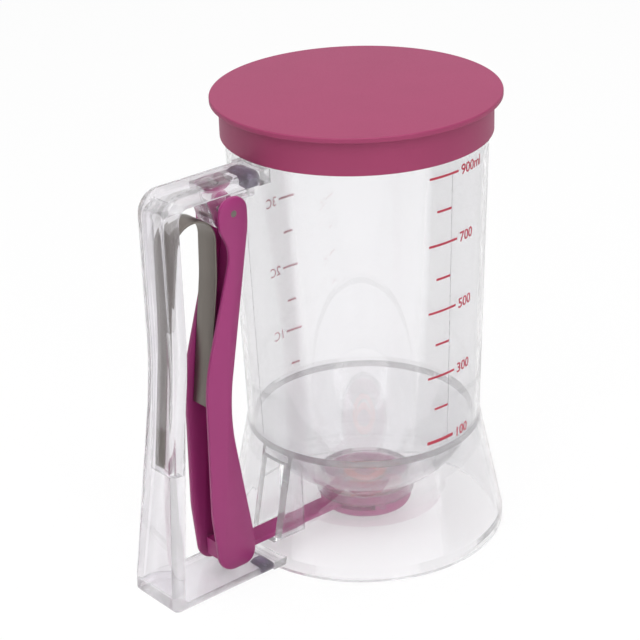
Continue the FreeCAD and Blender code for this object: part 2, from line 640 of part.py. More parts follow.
def make_trigger():
    """The squeezed lever: a channel open towards the grip, hung on the pin."""
    body = new_body("trigger")
    half = size["trigger_half_width"]
    wall = size["trigger_wall"]
    pivot_x, pivot_z = -size["pivot_reach"], size["pivot_height"]
    sketch = new_sketch(body, "SideShape", "XZ_Plane")
    outline(sketch, trigger_corners())
    pad(body, sketch, "Side", half * 2)
    # Channel: everything in front of the back wall, between the side walls
    front = -(size["shin_reach"] + size["cut_margin"])
    above = pivot_z + size["ear_radius"] + size["cut_margin"]
    behind = pivot_x + size["ear_radius"] + size["cut_margin"]
    heel_inside = -size["heel_reach"] - wall
    sketch = new_sketch(body, "ChannelShape", "XZ_Plane")
    outline(sketch, [
        (front, above, 0),
        (behind, above, 0),
        (behind, pivot_z - size["back_top_drop"], 0),
        (pivot_x + size["ear_radius"] - wall, pivot_z - size["back_top_drop"], 0),
        (-waist_reach - wall, size["waist_height"], size["waist_round"]),
        (heel_inside, size["heel_height"], 0),
        (heel_inside, size["back_bottom"], 0),
        (behind, size["back_bottom"], 0),
        (behind, 0, 0),
        (front, 0, 0),
    ])
    pocket(body, sketch, "Channel", (half - wall) * 2)
    # Stiffening ribs across the channel, each rooted in the back wall
    for name in ("low", "middle", "high"):
        height = size[f"stiffener_{name}"]
        back = back_reach(height)
        sketch = new_sketch(body, f"Stiffener{name.title()}Shape", "XZ_Plane")
        outline(sketch, box_corners(-(back + wall + size["stiffener_height"]), height,
                                    -back - wall / 2, height + size["stiffener_thickness"]))
        pad(body, sketch, f"Stiffener{name.title()}", (half - wall / 2) * 2)
    # Cross bar that pulls the slide
    sketch = new_sketch(body, "LinkShape", "XZ_Plane")
    circle(sketch, -size["link_reach"], size["link_height"], size["link_radius"])
    pad(body, sketch, "Link", (half - wall / 2) * 2)
    sketch = new_sketch(body, "PinHoleShape", "XZ_Plane")
    circle(sketch, pivot_x, pivot_z, pin_hole_radius)
    pocket(body, sketch, "PinHole")


def make_pin():
    """The steel pin that the trigger hangs on."""
    pin = doc.addObject("Part::Cylinder", "trigger_pin")
    pin.Label = "trigger_pin"
    bind(pin, "Radius", size["pin_radius"])
    bind(pin, "Height", size["trigger_half_width"] * 2)
    pin.Placement = FreeCAD.Placement(Vector(0, 0, 0), FreeCAD.Rotation(Vector(1, 0, 0), 90))
    bind(pin, "Placement.Base.y", size["trigger_half_width"])
    bind(pin, "Placement.Base.z", size["pivot_height"])
    place(pin)
    bind(pin, "Placement.Base.x", jar_x - size["pivot_reach"])


def make_slide():
    """The valve slide: a tongue under the outlet, a bar, and a hooked end on the trigger."""
    body = new_body("valve_slide")
    low = size["slide_bottom"]
    bar = size["bar_half_width"]
    tongue = size["tongue_radius"]
    hook_x = size["link_reach"]
    block = size["hook_block"]
    turn = tongue - size["arc_margin"]
    taper_start = size["tongue_length"] - tongue + size["tongue_taper_start"]
    taper_end = taper_start + size["tongue_taper_length"]
    sketch = new_sketch(body, "PlateShape", "XY_Plane", low)
    outline(sketch, [
        (turn, -tongue, turn),
        (turn, tongue, turn),
        (-taper_start, tongue, size["tongue_corner"]),
        (-taper_end, bar, size["tongue_corner"]),
        (-hook_x - block, bar, 0),
        (-hook_x - block, -bar, 0),
        (-taper_end, -bar, size["tongue_corner"]),
        (-taper_start, -tongue, size["tongue_corner"]),
    ])
    pad(body, sketch, "Plate", size["slide_thickness"], symmetric=False)
    sketch = new_sketch(body, "HookShape", "XZ_Plane")
    outline(sketch, box_corners(-hook_x - block, low, -hook_x + block, low + size["hook_rise"]))
    pad(body, sketch, "Hook", bar * 2)
    slot = size["link_radius"] + size["link_clearance"]
    sketch = new_sketch(body, "SlotShape", "XZ_Plane")
    outline(sketch, box_corners(-hook_x - slot, low - size["merge_depth"], -hook_x + slot,
                                low + size["hook_rise"] - size["hook_roof"]))
    pocket(body, sketch, "Slot")


def make_seal():
    """The silicone ring that presses on the slide."""
    body = new_body("outlet_seal")
    top = floor_underside - size["seal_gap"]
    bottom = slide_top + size["seal_gap"]
    inner, outer = size["seal_inner_radius"], size["seal_outer_radius"]
    bevel, rise = size["seal_bevel_width"], size["seal_bevel_height"]
    sketch = new_sketch(body, "SealShape", "XZ_Plane")
    outline(sketch, [
        (inner, bottom + rise, 0),
        (inner + bevel, bottom, 0),
        (outer - bevel, bottom, 0),
        (outer, bottom + rise, 0),
        (outer, top, 0),
        (inner, top, 0),
    ])
    revolve(body, sketch, "Seal")


def make_cap():
    """The dish under the collar that carries the slide."""
    body = new_body("valve_cap")
    radius, wall = size["cap_radius"], size["cap_wall"]
    floor_top = size["slide_bottom"] - size["slide_clearance"]
    floor_low = floor_top - size["cap_floor"]
    top = size["collar_bottom"] - size["seat_gap"]
    hole = size["cap_hole_radius"]
    sketch = new_sketch(body, "CapShape", "XZ_Plane")
    outline(sketch, [
        (hole, size["cap_bottom"], 0),
        (hole + size["cap_spout_wall"], size["cap_bottom"], 0),
        (hole + size["cap_spout_wall"], floor_low, 0),
        (radius - wall - size["cap_rim_taper"], floor_low, 0),
        (radius - wall, size["cap_bottom"], 0),
        (radius - size["cap_edge_width"], size["cap_bottom"], 0),
        (radius, size["cap_bottom"] + size["cap_edge_height"], 0),
        (radius, top, 0),
        (radius - wall, top, 0),
        (radius - wall, floor_top, 0),
        (hole, floor_top, 0),
    ])
    revolve(body, sketch, "Cap")
    sketch = new_sketch(body, "SlotShape", "XY_Plane", floor_top)
    angle = math.radians(float(size["cap_slot_angle"]))
    reach = radius + size["cut_margin"]
    outline(sketch, [
        (0, 0, 0),
        (-reach * math.cos(angle), -reach * math.sin(angle), 0),
        (-reach, -reach * math.sin(angle), 0),
        (-reach, reach * math.sin(angle), 0),
        (-reach * math.cos(angle), reach * math.sin(angle), 0),
    ])
    pocket(body, sketch, "Slot", top - floor_top + size["merge_depth"], symmetric=False, reverse=True)
    rail_low = size["tongue_radius"] + size["slide_clearance"]
    rail_half = size["guide_length"] / 2
    for side, name in ((1, "Left"), (-1, "Right")):
        edges = sorted((rail_low * side, (rail_low + size["guide_thickness"]) * side))
        sketch = new_sketch(body, f"{name}RailShape", "XY_Plane", floor_top - size["merge_depth"])
        outline(sketch, box_corners(-rail_half - size["guide_shift"], edges[0],
                                    rail_half - size["guide_shift"], edges[1]))
        pad(body, sketch, f"{name}Rail", size["slide_thickness"] + size["merge_depth"], symmetric=False)


def make_spring():
    """The leaf spring: a strip bent like an upturned U, one leg in the grip and one in the trigger."""
    body = new_body("leaf_spring")
    thick = size["strip_thickness"]
    outer_leg = size["grip_outer_reach"] - size["grip_wall"] - size["strip_gap"] - thick / 2
    bend = size["strip_bend_radius"]
    foot_height = size["channel_bottom"] + size["strip_foot_gap"]
    foot_reach = outer_leg + grip_lean * (size["grip_bend_height"] - foot_height)
    shoulder = outer_leg - size["strip_shoulder"]
    inner_leg = shoulder - bend * 2
    top = size["strip_top"]
    path = [
        (-foot_reach, foot_height, 0),
        (-outer_leg, size["grip_bend_height"], size["grip_bend_radius"]),
        (-shoulder, top, bend),
        (-inner_leg, top, bend - size["arc_margin"]),
        (-inner_leg - size["strip_knee_step"], size["strip_knee_height"], size["strip_knee_radius"]),
        (-inner_leg - size["strip_end_step"], size["strip_end_height"], 0),
    ]
    sketch = new_sketch(body, "StripPath", "XZ_Plane")
    outline(sketch, path, closed=False)
    section = new_sketch(body, "StripSection", "XY_Plane", foot_height)
    outline(section, box_corners(-foot_reach - thick / 2, -size["strip_half_width"],
                                 -foot_reach + thick / 2, size["strip_half_width"]))
    pipe = body.newObject("PartDesign::AdditivePipe", "Strip")
    pipe.Profile = section
    pipe.Spine = (sketch, [])
    finish(body, pipe)


make_jar()
make_lid()
make_handle()
make_trigger()
make_pin()
make_slide()
make_seal()
make_cap()
make_spring()
doc.recompute()

for item in doc.Objects:
    if "Invalid" in item.State or "Error" in item.State:
        raise RuntimeError(f"{item.Name} failed: {item.State}")

os.makedirs("parts", exist_ok=True)
for piece in sub_parts:
    shape = piece.Shape
    if shape.isNull() or not shape.isValid() or len(shape.Solids) < 1:
        raise RuntimeError(f"{piece.Label} is not a valid solid")
    shape.exportStep(f"parts/{piece.Label}.step")
    print(piece.Label, len(shape.Solids), "solid", round(shape.Volume / 1000, 2), "cm3")
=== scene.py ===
"""Pancake batter dispenser: the finished look of the part, built round its fixed frame.

Lengths are metres, in the part's own frame: +Z up, the handle towards -X. Outlines are
written in millimetres: first the distance from the jar's axis, which is negative towards
the handle in a side view, then the height."""

import math

import bmesh
import bpy
from mathutils import Matrix, Vector


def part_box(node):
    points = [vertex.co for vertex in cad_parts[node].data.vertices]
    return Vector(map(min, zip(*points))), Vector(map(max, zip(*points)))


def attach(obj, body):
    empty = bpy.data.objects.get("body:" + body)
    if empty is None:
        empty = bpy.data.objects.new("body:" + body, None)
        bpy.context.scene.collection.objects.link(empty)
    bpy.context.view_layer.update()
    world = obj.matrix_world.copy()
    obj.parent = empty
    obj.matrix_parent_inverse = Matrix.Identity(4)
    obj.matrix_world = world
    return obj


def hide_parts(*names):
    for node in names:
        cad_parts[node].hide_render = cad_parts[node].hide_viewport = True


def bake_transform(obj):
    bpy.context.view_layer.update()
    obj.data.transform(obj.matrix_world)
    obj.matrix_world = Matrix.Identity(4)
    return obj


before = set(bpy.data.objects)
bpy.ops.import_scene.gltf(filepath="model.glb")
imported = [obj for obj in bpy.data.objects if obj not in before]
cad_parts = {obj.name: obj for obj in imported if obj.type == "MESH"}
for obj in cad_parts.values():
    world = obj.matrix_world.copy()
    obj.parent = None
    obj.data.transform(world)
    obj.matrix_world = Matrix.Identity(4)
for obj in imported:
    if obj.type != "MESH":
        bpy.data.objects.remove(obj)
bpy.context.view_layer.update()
LID_LOW, LID_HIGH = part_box("lid")
JAR_X = (LID_LOW.x + LID_HIGH.x) / 2
JAR_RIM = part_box("jar_body")[1].z
MM = 0.001

# How many steps make an arc, a small circle and a bevelled edge
ROUND_STEPS, CIRCLE_STEPS, BEVEL_STEPS = 10, 28, 3
# Corners sharper than these stay crisp, or get a bevel where a piece has one, in degrees
CRISP_ANGLE, BEVEL_ANGLE = 32.0, 35.0
# The largest share of a bar's depth that the rounding of one edge takes
MOST_ROUND = 0.46
# A distance that counts as none
NOTHING = 1e-6

bl_info = {
    "name": "Batter Dispenser",
    "version": (1, 0, 0),
    "blender": (4, 5, 0),
    "location": "View3D > Sidebar > Dispenser",
    "description": "Clear batter jar with a bowl bottom, a push-on lid and a sprung trigger",
    "category": "Object",
}


def length(name, description, metres):
    """A length that the user can set."""
    return bpy.props.FloatProperty(name=name, description=description, default=metres,
                                   min=0.0, unit="LENGTH", precision=5)


def share(name, description, number):
    """A plain share or strength that the user can set."""
    return bpy.props.FloatProperty(name=name, description=description, default=number,
                                   min=0.0, subtype="FACTOR", soft_max=1.0)


def colour(name, description, code):
    """A colour that the user can set, from its sRGB hex code."""
    return bpy.props.FloatVectorProperty(name=name, description=description, size=3,
                                         default=linear(code), min=0.0, max=1.0, subtype="COLOR")


def linear(code):
    """The linear value of an sRGB hex colour."""
    parts = [int(code[start:start + 2], 16) / 255 for start in (1, 3, 5)]
    return tuple(part / 12.92 if part <= 0.04045 else ((part + 0.055) / 1.055) ** 2.4
                 for part in parts)


class DispenserSizes(bpy.types.PropertyGroup):
    """Sizes that a user would change."""

    ring_radius: length("Ring radius", "Outside of the jar where the bowl springs from it", 0.0481)
    ring_height: length("Ring height", "Height of that ring above the table", 0.0498)
    mouth_radius: length("Mouth radius", "Outside of the jar at its rim", 0.0522)
    lid_round: length("Lid rounding", "Rounding of the lid's rim", 0.0006)
    grip_round: length("Handle rounding", "Rounding of the handle's outer long edges", 0.0026)
    trigger_round: length("Trigger rounding", "Rounding of the trigger's edges", 0.0006)
    print_height: length("Numeral height", "Height of the printed numerals", 0.0042)
    tick_width: length("Tick width", "Height of a printed line on the jar", 0.00095)
    print_weight: length("Numeral weight", "How much bolder than plain the numerals are", 0.00009)
    seam_width: length("Seam width", "Width of the mould's witness lines on the jar", 0.0003)


class DispenserLooks(bpy.types.PropertyGroup):
    """Colours and light that a user would change."""

    lid_colour: colour("Lid colour", "Magenta of the lid", "#97385F")
    trigger_colour: colour("Trigger colour", "Magenta of the trigger and the slide", "#95286A")
    print_colour: colour("Print colour", "Crimson of the printed scale", "#B01C3C")
    seal_colour: colour("Seal colour", "Red of the silicone seal", "#E22410")
    clear_tint: colour("Clear tint", "Tint of the jar's clear plastic", "#FDFDFE")
    # Painted shade: a dark tint for blocks in the roots of the handle's arms, where refraction makes
    # the clear plastic look dark
    root_painted_shade_tint: colour("Root tint", "Tint of the deep roots of the handle's arms", "#857C90")
    grip_tint: colour("Handle tint", "Tint of the handle's thick clear plastic", "#F7F5F9")
    steel_colour: colour("Steel colour", "Grey of the rolled spring strip", "#79736D")
    world_light: share("Room light", "Strength of the even light of the room", 0.56)
    floor_glow: share("Floor white", "How far the floor is lifted to white for the eye", 0.9)
    floor_through: share("Floor white in plastic", "How far it is lifted where plastic shows it", 0.4)
    floor_sheen: share("Floor white in gloss", "How far it is lifted where a surface reflects it", 0.15)


def sizes():
    """The user's sizes."""
    return bpy.context.scene.dispenser_sizes


def looks():
    """The user's colours and light."""
    return bpy.context.scene.dispenser_looks


# Mesh tools


def mesh_from(name, work):
    """Turn a bmesh into a mesh with outward faces."""
    bmesh.ops.recalc_face_normals(work, faces=work.faces)
    mesh = bpy.data.meshes.new(name)
    work.to_mesh(mesh)
    work.free()
    return mesh


def loose(name, data):
    """A new object in the scene, with nothing said about what it is."""
    tool = bpy.data.objects.new(name, data)
    bpy.context.scene.collection.objects.link(tool)
    return tool


def mesh_of(tool):
    """The mesh of a loose object, which is gone afterwards."""
    mesh = tool.data
    bpy.data.objects.remove(tool)
    return mesh


def finish_mesh(name, mesh, body, *nodes):
    """Link a mesh as a piece of the object with smooth faces and crisp corners."""
    for face in mesh.polygons:
        face.use_smooth = True
    mesh.set_sharp_from_angle(angle=math.radians(CRISP_ANGLE))
    piece = loose(name, mesh)
    if body:
        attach(piece, body)
    if nodes:
        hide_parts(*nodes)
    return piece


def bake_modifiers(piece):
    """Replace a piece's mesh by what its modifiers make of it."""
    bpy.context.view_layer.update()
    shown = piece.evaluated_get(bpy.context.evaluated_depsgraph_get())
    mesh = bpy.data.meshes.new_from_object(shown)
    piece.modifiers.clear()
    piece.data = mesh


def bevel(piece, width):
    """Round the crisp edges of a piece and keep the result in its mesh."""
    modifier = piece.modifiers.new("edges", "BEVEL")
    modifier.width = width
    modifier.segments = BEVEL_STEPS
    modifier.limit_method = "ANGLE"
    modifier.angle_limit = math.radians(BEVEL_ANGLE)
    modifier.harden_normals = True
    bake_modifiers(piece)


def combine(piece, tool, operation):
    """Take a tool's space out of a piece, or join the tool to it."""
    modifier = piece.modifiers.new("combine", "BOOLEAN")
    modifier.operation = operation
    modifier.solver = "EXACT"
    modifier.object = tool
    bake_modifiers(piece)
    bpy.data.objects.remove(tool)


def rounded(corners, closed=True):
    """Points of an outline (x, y, radius), with an arc at each corner that has a radius."""
    points = []
    count = len(corners)
    for index, (x, y, radius) in enumerate(corners):
        corner = Vector((x, y))
        if radius <= 0 or (not closed and index in (0, count - 1)):
            points.append(corner)
            continue
        before = (Vector(corners[index - 1][:2]) - corner).normalized()
        after = (Vector(corners[(index + 1) % count][:2]) - corner).normalized()
        half = before.angle(after) / 2
        centre = corner + (before + after).normalized() * (radius / math.sin(half))
        start = corner + before * (radius / math.tan(half)) - centre
        turn = start.angle_signed(corner + after * (radius / math.tan(half)) - centre)
        for step in range(ROUND_STEPS + 1):
            points.append(centre + start @ Matrix.Rotation(turn * step / ROUND_STEPS, 2))
    return points


def ring_outline(place, radius):
    """A small circle as an outline."""
    angles = [2 * math.pi * step / CIRCLE_STEPS for step in range(CIRCLE_STEPS)]
    return [Vector((place[0] + radius * math.cos(angle), place[1] + radius * math.sin(angle)))
            for angle in angles]


def cover(work, rings):
    """Add the faces of a solid that runs through rings of corners and is closed at both ends."""
    count = len(rings[0])
    for ring, following in zip(rings, rings[1:]):
        for index in range(count):
            after = (index + 1) % count
            work.faces.new((ring[index], ring[after], following[after], following[index]))
    work.faces.new(rings[0])
    work.faces.new(list(reversed(rings[-1])))


def plates(name, parts):
    """A loose object of separate plates, each a side view between two y."""
    work = bmesh.new()
    for outline, low, high in parts:
        cover(work, [[work.verts.new((JAR_X + x * MM, y * MM, z * MM)) for x, z in outline]
                     for y in (low, high)])
    return loose(name, mesh_from(name, work))


def lathe(name, profile, turns):
    """A solid turned round the jar's axis from a closed outline of reach and height."""
    work = bmesh.new()
    rings = []
    for reach, height in profile:
        if reach < NOTHING:
            rings.append([work.verts.new((JAR_X, 0, height * MM))])
            continue
        ring = []
        for turn in range(turns):
            angle = 2 * math.pi * turn / turns
            x = JAR_X + reach * MM * math.cos(angle)
            ring.append(work.verts.new((x, reach * MM * math.sin(angle), height * MM)))
        rings.append(ring)
    for ring, following in zip(rings, rings[1:] + rings[:1]):
        if len(ring) == 1 and len(following) == 1:
            continue
        for turn in range(turns):
            corners = [ring[turn % len(ring)], ring[(turn + 1) % len(ring)],
                       following[(turn + 1) % len(following)], following[turn % len(following)]]
            work.faces.new(list(dict.fromkeys(corners)))
    return mesh_from(name, work)


def sweep(name, stations, section):
    """A solid whose section runs along stations of (outer point, inner point, half width).

    The section function takes a station's half width and depth, and gives a ring of points:
    how far across, and how far in from the outer point."""
    work = bmesh.new()
    rings = []
    for outer, inner, half in stations:
        through = inner - outer
        depth = through.length
        through.normalize()
        ring = []
        for across, into in section(half, depth):
            place = outer + through * into
            ring.append(work.verts.new((JAR_X + place.x * MM, across * MM, place.y * MM)))
        rings.append(ring)
    cover(work, rings)
    return mesh_from(name, work)


def soft_bar(outer_round, inner_round, steps):
    """The section of a bar whose long edges are rounded, outside and inside."""
    edges = ((-1, True, outer_round), (1, True, outer_round),
             (1, False, inner_round), (-1, False, inner_round))

    def section(half, depth):
        ring = []
        for side, outside, radius in edges:
            soft = min(radius, depth * MOST_ROUND)
            rising = (side < 0) == outside
            for step in range(steps + 1):
                turn = math.pi / 2 * (step / steps if rising else 1 - step / steps)
                across = half - soft + soft * math.cos(turn)
                inward = soft - soft * math.sin(turn)
                ring.append((side * across, inward if outside else depth - inward))
        return ring
    return section


def spaced(pairs, most):
    """Pairs of points with more pairs put in where two are far apart."""
    found = [pairs[0]]
    for pair in pairs[1:]:
        last = found[-1]
        gap = max((pair[0] - last[0]).length, (pair[1] - last[1]).length)
        count = max(1, math.ceil(gap / most))
        for step in range(1, count + 1):
            found.append(tuple(a.lerp(b, step / count) for a, b in zip(last, pair)))
    return found


# Materials


def add_node(tree, kind, settings=None, values=None, links=None):
    """Add a node: its own settings, values of its sockets, and links into its sockets.

    A socket goes by its name, or by its number where two have the same name."""
    node = tree.nodes.new(kind)
    for name, value in (settings or {}).items():
        setattr(node, name, value)
    for socket, value in (values or {}).items():
        node.inputs[socket].default_value = value
    for socket, source in (links or {}).items():
        tree.links.new(source, node.inputs[socket])
    return node


def new_material(name, values=None):
    """A material with nothing but a Principled shader of these values on its output."""
    material = bpy.data.materials.new(name)
    material.use_nodes = True
    tree = material.node_tree
    tree.nodes.clear()
    shader = add_node(tree, "ShaderNodeBsdfPrincipled", values=values)
    output = add_node(tree, "ShaderNodeOutputMaterial", links={"Surface": shader.outputs["BSDF"]})
    return material, tree, shader, output


def grain_of(tree, millimetres, detail):
    """A cloudy pattern whose grain is about a real size, read from the surface's place."""
    where = add_node(tree, "ShaderNodeNewGeometry")
    noise = add_node(tree, "ShaderNodeTexNoise",
                     values={"Scale": 1 / (millimetres * MM), "Detail": detail, "Roughness": 0.55},
                     links={"Vector": where.outputs["Position"]})
    return noise.outputs["Fac"]


def drift_colour(tree, shader, pattern, base, change):
    """Let a shader's colour drift a little darker and lighter with a pattern."""
    darker = tuple(part * (1 - change) for part in base)
    lighter = tuple(min(1.0, part * (1 + change)) for part in base)
    mix = add_node(tree, "ShaderNodeMix", settings={"data_type": "RGBA"},
                   values={"A": (*darker, 1), "B": (*lighter, 1)}, links={"Factor": pattern})
    tree.links.new(mix.outputs["Result"], shader.inputs["Base Color"])


def drift_roughness(tree, shader, pattern, low, high):
    """Let a shader's roughness run from low to high with a pattern."""
    rough = add_node(tree, "ShaderNodeMapRange",
                     values={"From Min": 0.3, "From Max": 0.7, "To Min": low, "To Max": high},
                     links={"Value": pattern})
    tree.links.new(rough.outputs["Result"], shader.inputs["Roughness"])


def emboss(tree, shader, pattern, strength, millimetres):
    """Let a surface seem to rise and fall with a pattern, by up to a real height."""
    bump = add_node(tree, "ShaderNodeBump",
                    values={"Strength": strength, "Distance": millimetres * MM},
                    links={"Height": pattern})
    tree.links.new(bump.outputs["Normal"], shader.inputs["Normal"])


def moulded_styrene(name, tint, haze, veil):
    """Clear polystyrene, injection moulded and polished.

    A bright, slightly violet glass look, with soft waviness from the mould in its reflections.
    The haze is its highest roughness, and the veil the share that is seen straight through."""
    material, tree, shader, output = new_material(name, {
        "Base Color": (*tint, 1), "IOR": 1.57, "Transmission Weight": 1.0,
        "Specular Tint": (*linear("#D3D3D4"), 1)})
    waves = grain_of(tree, 14.0, detail=1.0)
    scuffs = grain_of(tree, 2.2, detail=6.0)
    drift_roughness(tree, shader, scuffs, haze * 0.4, haze)
    emboss(tree, shader, waves, 0.12, 0.4)
    # Lamps reach what stands inside and behind the clear walls
    path = add_node(tree, "ShaderNodeLightPath")
    clear = add_node(tree, "ShaderNodeBsdfTransparent", values={"Color": (*linear("#F6F5F6"), 1)})
    through = add_node(tree, "ShaderNodeMath", settings={"operation": "MAXIMUM"},
                       values={1: veil}, links={0: path.outputs["Is Shadow Ray"]})
    mix = add_node(tree, "ShaderNodeMixShader",
                   links={"Fac": through.outputs["Value"], 1: shader.outputs["BSDF"],
                          2: clear.outputs["BSDF"]})
    tree.links.new(mix.outputs["Shader"], output.inputs["Surface"])
    return material


def moulded_plastic(name, base, roughness, sheen, grain_mm, relief):
    """Polypropylene, injection moulded in a finely spark-textured tool.

    An even satin colour whose highlight breaks up into a fine grain."""
    material, tree, shader, _ = new_material(name, {"IOR": 1.49, "Specular IOR Level": sheen})
    flow = grain_of(tree, 18.0, detail=2.0)
    grain = grain_of(tree, grain_mm, detail=5.0)
    drift_colour(tree, shader, flow, base, 0.05)
    drift_roughness(tree, shader, grain, roughness - 0.05, roughness + 0.06)
    emboss(tree, shader, grain, relief, 0.06)
    return material


def rolled_steel(name, base):
    """Stainless spring steel, cold rolled to strip.

    A grey metal with faint streaks from the rolls, 25 mm long and under 1 mm apart, and a
    soft, blurred mirror."""
    material, tree, shader, _ = new_material(name, {"Metallic": 1.0})
    where = add_node(tree, "ShaderNodeNewGeometry")
    across = add_node(tree, "ShaderNodeMapping", values={"Scale": (1.0, 30.0, 1.0)},
                      links={"Vector": where.outputs["Position"]})
    noise = add_node(tree, "ShaderNodeTexNoise",
                     values={"Scale": 1 / (25.0 * MM), "Detail": 5.0, "Roughness": 0.6},
                     links={"Vector": across.outputs["Vector"]})
    streaks = noise.outputs["Fac"]
    drift_colour(tree, shader, streaks, base, 0.12)
    drift_roughness(tree, shader, streaks, 0.34, 0.5)
    emboss(tree, shader, streaks, 0.15, 0.03)
    return material


def silicone_rubber(name, base):
    """Silicone rubber, press moulded.

    A soft, dull red-orange with light that sinks in a little."""
    material, tree, shader, _ = new_material(name, {
        "IOR": 1.41, "Subsurface Weight": 0.1,
        "Subsurface Radius": (2.0 * MM, 0.8 * MM, 0.5 * MM)})
    dust = grain_of(tree, 1.2, detail=5.0)
    drift_colour(tree, shader, dust, base, 0.08)
    drift_roughness(tree, shader, dust, 0.45, 0.6)
    return material


def screen_ink(name, base):
    """Screen-printing ink for styrene.

    A flat crimson film, a little thin in places where the wall shows through."""
    material, tree, shader, _ = new_material(name)
    thin = grain_of(tree, 0.9, detail=4.0)
    drift_colour(tree, shader, thin, base, 0.15)
    drift_roughness(tree, shader, thin, 0.35, 0.5)
    return material


def kept_material(name, maker, **values):
    """One material of each name, made when it is first asked for."""
    return bpy.data.materials.get(name) or maker(name, **values)


def clear_plastic():
    """The jar's thin clear plastic."""
    return kept_material("clear_styrene_moulded", moulded_styrene,
                         tint=tuple(looks().clear_tint), haze=0.03, veil=0.2)


def grip_plastic():
    """The handle's thick clear plastic, whose depth gives it a greyer, more violet cast."""
    return kept_material("clear_styrene_thick", moulded_styrene,
                         tint=tuple(looks().grip_tint), haze=0.05, veil=0.28)


def trigger_plastic():
    """The magenta plastic of the trigger, the slide and the valve cap."""
    return kept_material("polypropylene_satin_trigger", moulded_plastic,
                         base=tuple(looks().trigger_colour), roughness=0.4, sheen=0.5,
                         grain_mm=0.35, relief=0.25)


def strip_steel():
    """The steel of the spring and the pin."""
    return kept_material("spring_steel_rolled", rolled_steel, base=tuple(looks().steel_colour))


def dress(piece, finish):
    """Give a piece its finish, in a material slot of its own."""
    piece.data.materials.clear()
    piece.data.materials.append(finish)


def dress_node(node, finish):
    """Give a carried-over solid a better finish."""
    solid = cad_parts[node]
    if not solid.material_slots:
        solid.data.materials.append(finish)
    for place in solid.material_slots:
        place.material = finish


# Pieces


def wall_reach(height):
    """Outside of the jar's wall at a height, both in millimetres."""
    low, high, ring = (size / MM for size in
                       (sizes().ring_radius, sizes().mouth_radius, sizes().ring_height))
    share_up = (height - ring) / (JAR_RIM / MM - ring)
    return low + (high - low) * share_up


def on_wall(turn_degrees, height, lift):
    """A point on the jar's outer wall, or lifted a little off it."""
    reach = (wall_reach(height) + lift) * MM
    turn = math.radians(turn_degrees)
    return Vector((JAR_X + reach * math.cos(turn), reach * math.sin(turn), height * MM))


class DISPENSER_OT_jar(bpy.types.Operator):
    """Finish the clear jar with its bowl, collar and flared skirt"""

    bl_idname = "dispenser.jar"
    bl_label = "Jar"

    def execute(self, context):
        dress_node("jar_body", clear_plastic())
        return {"FINISHED"}


# Side view of the handle: its outer and inner faces, corner by corner
GRIP_OUTER = [(-56.04, 170.7, 0), (-101.4, 170.7, 9.0), (-101.4, 104.0, 180.0),
              (-111.2, 10.0, 0), (-111.2, 3.0, 2.0), (-62.04, 3.0, 0)]
GRIP_INNER = [(-56.04, 165.0, 0), (-93.8, 165.0, 4.5), (-93.8, 104.0, 180.0),
              (-105.73, 10.0, 0), (-106.2, 6.3, 2.0), (-62.04, 6.3, 0)]
# Its half width above the flare and at the foot, and the heights between which it flares
GRIP_HALF, FOOT_HALF, FLARE_TOP, FLARE_LOW = 8.5, 13.8, 84.0, 6.3
# How far apart its sections are, how fine its edges, and the inner edges' share of the rounding
GRIP_SPACING, GRIP_EDGE_STEPS, INNER_SHARE = 5.0, 5, 0.4

# Side view, half width and edge rounding of the spring's channel and of the hinge lug
CHANNEL = [(-98.8, 164.0, 3.0), (-98.8, 104.0, 180.0), (-103.1, 58.0, 1.2), (-86.0, 58.0, 0),
           (-86.0, 164.0, 0)]
CHANNEL_HALF, CHANNEL_EDGE = 5.7, 0.6
LUG = [(-78.7, 166.5, 0), (-78.7, 163.5, 0.6), (-74.7, 150.6, 6.4), (-61.9, 150.6, 6.2),
       (-61.9, 160.4, 0), (-56.04, 160.4, 0), (-56.04, 166.5, 0)]
LUG_HALF, LUG_EDGE = 5.4, 0.5

# The pin's middle, the radius of its holes, and how far to each side they are cut
PIVOT, PIN_HOLE, THROUGH = (-68.3, 157.0), 1.35, 12.0

# Painted shade in the deep roots of both arms, where the plastic looks dark: side view and both y of
# the dark blocks put there
ARM_ROOT_PAINTED_SHADE = [([(-62.6, 165.5), (-56.6, 165.5), (-56.6, 170.1), (-60.0, 170.1)], -7.9, 4.0),
                  ([(-68.0, 3.5), (-62.3, 3.5), (-62.3, 6.0), (-66.0, 6.0)], -13.0, -5.0)]
PAINTED_SHADE_EDGE = 0.5


def grip_half(height):
    """Half width of the handle at a height."""
    down = min(1.0, max(0.0, (FLARE_TOP - height) / (FLARE_TOP - FLARE_LOW)))
    return GRIP_HALF + (FOOT_HALF - GRIP_HALF) * down


def drill(piece):
    """Cut the pin's hole through a piece."""
    hole = plates("hole", [(ring_outline(PIVOT, PIN_HOLE), -THROUGH, THROUGH)])
    combine(piece, hole, "DIFFERENCE")


